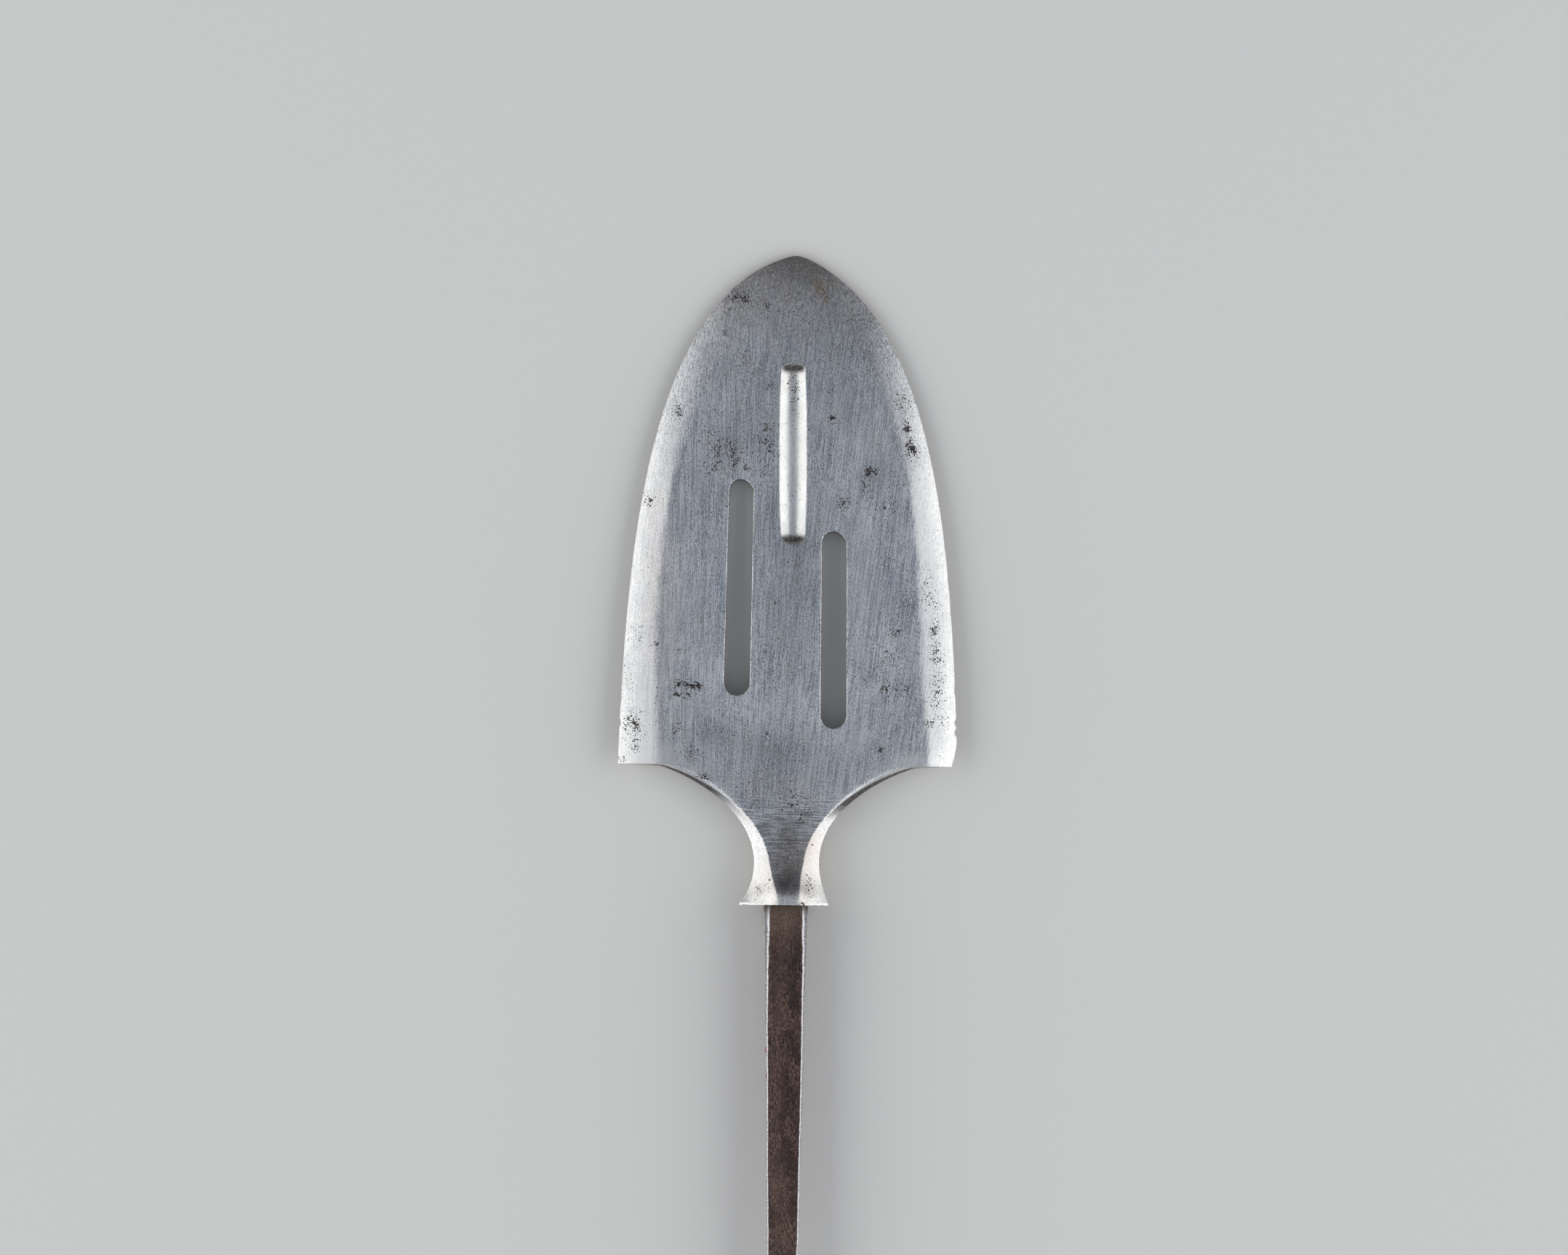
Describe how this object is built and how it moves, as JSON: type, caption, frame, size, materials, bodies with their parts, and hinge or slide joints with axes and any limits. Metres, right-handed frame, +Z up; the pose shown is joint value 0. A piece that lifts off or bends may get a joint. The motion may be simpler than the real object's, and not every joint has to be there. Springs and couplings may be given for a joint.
{
  "type": "slotted arrowhead",
  "caption": "Broad slotted arrowhead with ground edges, blind centre groove, waisted neck, flared seat collar and a tapered tang that goes into a shaft.",
  "frame": {"origin": "on the ground under the middle of the part as it lies on its back, resting on the collar's rim and the back of the blade near the tip", "axes": "+Y from the tang's end to the tip, +Z up out of the front face, which has the groove, +X to the right as seen from the front"},
  "size_m": [0.0386, 0.1564, 0.0072],
  "materials": {
    "polished_steel": "worn hand-polished steel with fine lengthwise scratches, brighter ground edges, pits and rust specks",
    "brown_iron": "unpolished brown patina with lengthwise streaks and rubbed corners"
  },
  "bodies": {
    "root": {"blade_head": "polished_steel", "tang": "brown_iron"}
  },
  "joints": []
}
